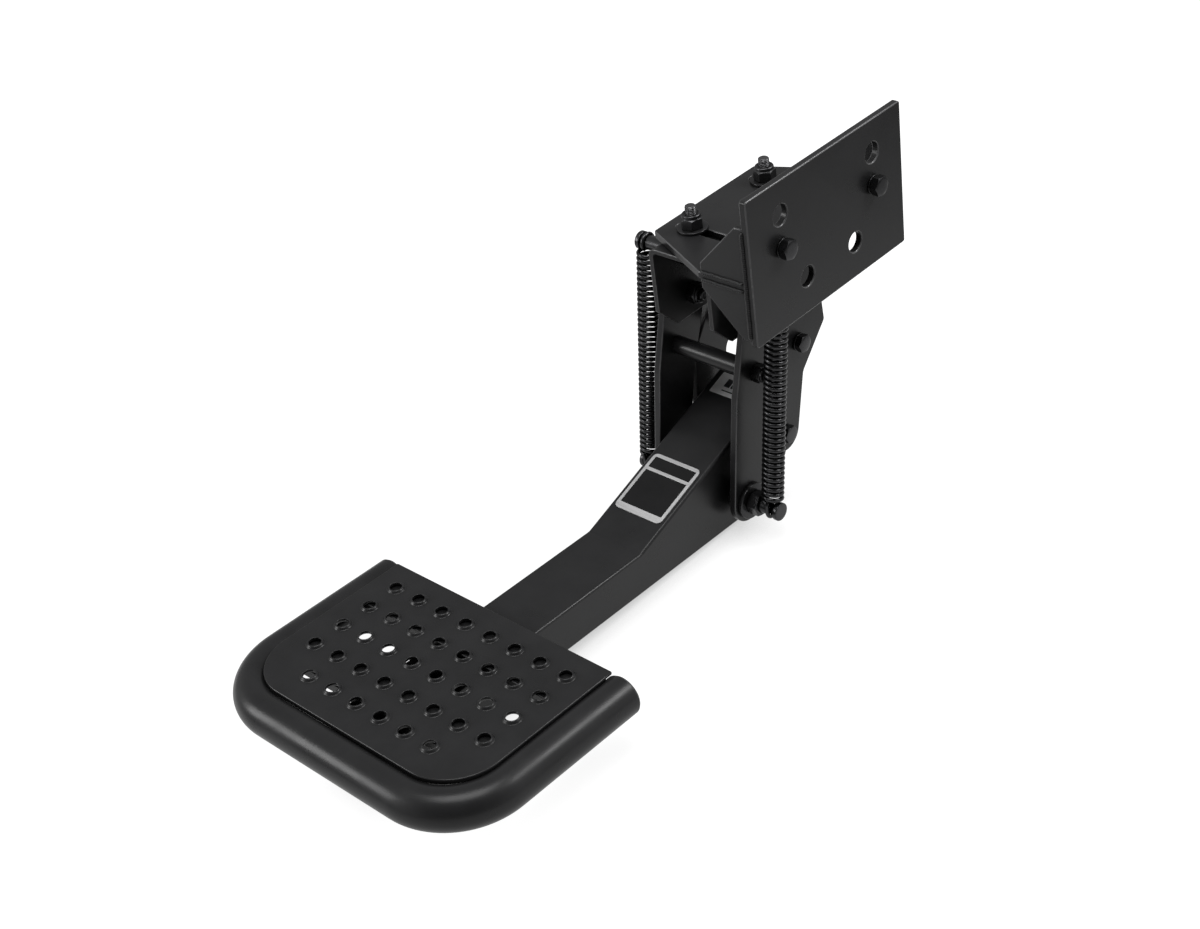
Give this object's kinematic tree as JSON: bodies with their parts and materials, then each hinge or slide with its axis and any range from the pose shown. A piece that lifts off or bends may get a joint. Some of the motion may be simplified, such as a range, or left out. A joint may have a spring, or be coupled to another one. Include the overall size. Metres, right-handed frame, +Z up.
{
  "type": "retractable rear step",
  "caption": "Retractable vehicle step: perforated tread in a bent tube rim on a swing arm, hung by sprung parallel links from a chassis bracket",
  "frame": {"origin": "on the mount plate's outer face, which bolts to the side of a chassis rail, halfway between the plate's two upper free holes", "axes": "+X out of the mount plate towards the rail, -Y away from the vehicle towards the tread, +Z up"},
  "size_m": [0.365, 0.7858, 0.4236],
  "materials": {
    "powder_coat": "satin",
    "black_fastener": "satin",
    "zinc_thread": "satin",
    "spring_steel": "satin",
    "end_plastic": "matte",
    "plate_metal": "satin",
    "plate_field": "gloss",
    "label_white": "matte"
  },
  "bodies": {
    "bracket": {"mount_plate": "powder_coat", "shelf_plate": "powder_coat", "upper_gussets": "powder_coat", "lower_gussets": "powder_coat", "weld_beads": "powder_coat", "hanger_channel": "powder_coat", "chassis_bolts": "black_fastener", "chassis_washers": "black_fastener", "chassis_nuts": "black_fastener", "hanger_washers": "black_fastener", "hanger_nuts": "black_fastener", "upper_spring_pins": "black_fastener", "spring_pin_nuts": "black_fastener", "front_pivot_bolts": "black_fastener", "front_pivot_bushes": "black_fastener", "front_pivot_nuts": "black_fastener", "rear_pivot_bolts": "black_fastener", "rear_pivot_bushes": "black_fastener", "rear_pivot_nuts": "black_fastener", "hanger_bolts": "zinc_thread"},
    "front_links": {"front_link_left": "powder_coat", "front_link_right": "powder_coat", "front_spacer_tube": "powder_coat", "front_spacer_bolt": "black_fastener", "front_spacer_washer": "black_fastener", "front_spacer_nut": "black_fastener", "lower_axle": "black_fastener", "axle_washers": "black_fastener", "axle_nuts": "black_fastener"},
    "rear_links": {"rear_link_left": "powder_coat", "rear_link_right": "powder_coat", "rear_spacer_tube": "powder_coat", "rear_spacer_bolt": "black_fastener", "rear_spacer_washer": "black_fastener", "rear_spacer_nut": "black_fastener", "rear_lower_bolts": "black_fastener", "rear_lower_nuts": "black_fastener"},
    "step_arm": {"arm_beam": "powder_coat", "arm_front_bushes": "powder_coat", "arm_rear_bushes": "powder_coat", "pad_plate": "powder_coat", "rim_tube": "powder_coat", "pad_cross_bars": "powder_coat", "tube_end_caps": "end_plastic", "load_plate": "plate_metal", "load_plate_fields": "plate_field", "sticker": "label_white"},
    "left_spring": {"spring_left": "spring_steel"},
    "right_spring": {"spring_right": "spring_steel"}
  },
  "joints": [
    {"name": "front_link_swing", "type": "hinge", "parent": "bracket", "child": "front_links", "pos_m": [-0.115, -0.05, -0.139], "axis": [1, 0, 0], "range_deg": [0, 48]},
    {"name": "rear_link_swing", "type": "hinge", "parent": "bracket", "child": "rear_links", "pos_m": [-0.115, 0.02, -0.093], "axis": [1, 0, 0], "range_deg": [0, 48]},
    {"name": "arm_pivot", "type": "hinge", "parent": "front_links", "child": "step_arm", "pos_m": [-0.115, -0.094, -0.349], "axis": [1, 0, 0], "range_deg": [-48, 0]},
    {"name": "left_spring_swing", "type": "hinge", "parent": "bracket", "child": "left_spring", "pos_m": [-0.115, -0.055, -0.091], "axis": [1, 0, 0], "range_deg": [0, 39.36], "deforming": ["spring_left"]},
    {"name": "right_spring_swing", "type": "hinge", "parent": "bracket", "child": "right_spring", "pos_m": [-0.115, -0.055, -0.091], "axis": [1, 0, 0], "range_deg": [0, 39.36], "deforming": ["spring_right"]}
  ],
  "couplings": [
    {"joint": "rear_link_swing", "follows": "front_link_swing", "ratio": 1},
    {"joint": "arm_pivot", "follows": "front_link_swing", "ratio": -1},
    {"joint": "left_spring_swing", "follows": "front_link_swing", "ratio": 0.82},
    {"joint": "right_spring_swing", "follows": "front_link_swing", "ratio": 0.82}
  ]
}
